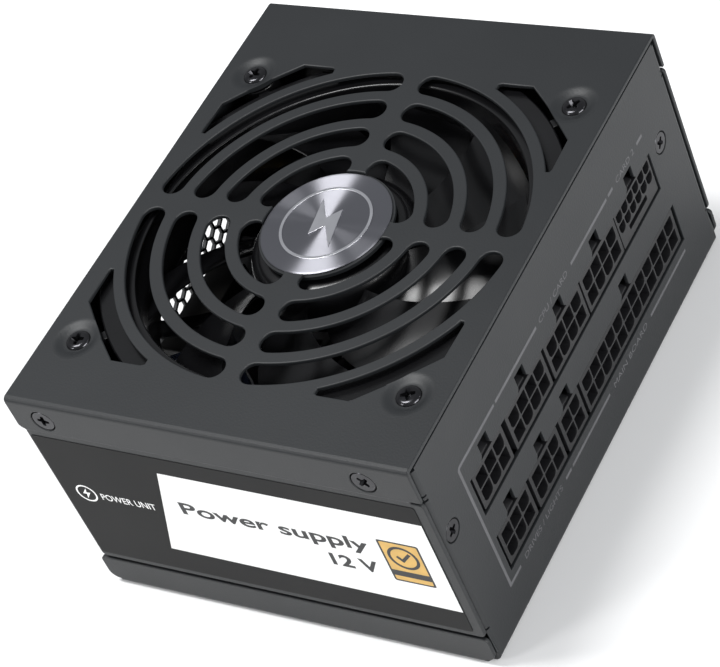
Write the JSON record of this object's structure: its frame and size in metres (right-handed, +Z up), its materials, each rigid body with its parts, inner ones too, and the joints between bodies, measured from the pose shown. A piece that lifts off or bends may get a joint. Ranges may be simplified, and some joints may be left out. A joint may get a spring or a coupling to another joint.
{
  "type": "power supply unit",
  "caption": "Small-form-factor computer power supply with a top fan, modular output sockets on one end, and a mains inlet and rocker switch on the other.",
  "frame": {"origin": "centre of the case's underside, on the plane that the case rests on", "axes": "+X across the case away from the label side, +Y from the output sockets towards the mains inlet, +Z up through the fan grille"},
  "size_m": [0.125, 0.1038, 0.0635],
  "materials": {
    "black_case_paint": "fine matt black powder coat on steel",
    "black_plastic": "moulded black nylon, slightly satin",
    "fan_plastic": "glossy black glass-filled plastic",
    "black_screw": "black oxide steel",
    "steel_screw": "zinc-plated steel",
    "spun_metal": "spun, clear-anodised disc with fine concentric grooves",
    "label_print": "printed black self-adhesive film",
    "contact_metal": "nickel-plated brass",
    "circuit_board": "solder mask over glass-epoxy board",
    "insulation_film": "black polycarbonate film",
    "capacitor_sleeve": "shrink sleeve over an aluminium can",
    "ferrite": "dark grey sintered ferrite",
    "winding_tape": "yellow polyester tape over a copper winding",
    "copper_winding": "lacquered copper wire",
    "heatsink_metal": "plain extruded aluminium",
    "component_plastic": "yellow moulded component case",
    "fan_wire": "PVC insulated pair",
    "fuse_ceramic": "ceramic tube with plated end caps"
  },
  "bodies": {
    "case": {"base_tray": "black_case_paint", "top_cover": "black_case_paint", "side_label": "label_print", "rating_label": "label_print", "medallion": "spun_metal", "cover_screw_1": "black_screw", "cover_screw_2": "black_screw", "cover_screw_3": "black_screw", "cover_screw_4": "black_screw", "panel_screw_left": "black_screw", "panel_screw_right": "black_screw", "connector_spacer_left": "contact_metal", "connector_spacer_right": "contact_metal", "fan_frame": "fan_plastic", "fan_stator": "copper_winding", "fan_screw_1": "black_screw", "fan_screw_2": "black_screw", "fan_screw_3": "black_screw", "fan_screw_4": "black_screw", "fan_lead": "fan_wire", "fan_plug": "black_plastic", "socket_upper_1": "black_plastic", "socket_upper_2": "black_plastic", "socket_upper_3": "black_plastic", "socket_upper_4": "black_plastic", "socket_upper_5": "black_plastic", "socket_lower_1": "black_plastic", "socket_lower_2": "black_plastic", "socket_lower_3": "black_plastic", "socket_lower_4": "black_plastic", "ac_inlet": "black_plastic", "inlet_pin_line": "contact_metal", "inlet_pin_neutral": "contact_metal", "inlet_pin_earth": "contact_metal", "switch_housing": "black_plastic", "main_board": "circuit_board", "insulation_sheet": "insulation_film", "connector_board": "circuit_board", "board_screw_1": "steel_screw", "board_screw_2": "steel_screw", "board_screw_3": "steel_screw", "board_screw_4": "steel_screw", "bulk_capacitor": "capacitor_sleeve", "pfc_choke": "copper_winding", "transformer_core": "ferrite", "transformer_winding": "winding_tape", "standby_transformer": "winding_tape", "emi_choke": "copper_winding", "x_capacitor": "component_plastic", "relay": "component_plastic", "fuse": "fuse_ceramic", "bridge_rectifier": "black_plastic", "primary_heatsink": "heatsink_metal", "secondary_heatsink": "heatsink_metal", "output_capacitor_1": "capacitor_sleeve", "output_capacitor_2": "capacitor_sleeve", "output_capacitor_3": "capacitor_sleeve", "output_capacitor_4": "capacitor_sleeve"},
    "fan": {"fan_rotor": "fan_plastic"},
    "rocker": {"switch_rocker": "black_plastic"}
  },
  "joints": [
    {"name": "fan_spin", "type": "hinge", "parent": "case", "child": "fan", "pos_m": [-0.0025, 0.0003, 0.0554], "axis": [0, 0, 1], "continuous": true},
    {"name": "rocker_tilt", "type": "hinge", "parent": "case", "child": "rocker", "pos_m": [0.0135, 0.0468, 0.019], "axis": [1, 0, 0], "range_deg": [0, 24]}
  ]
}
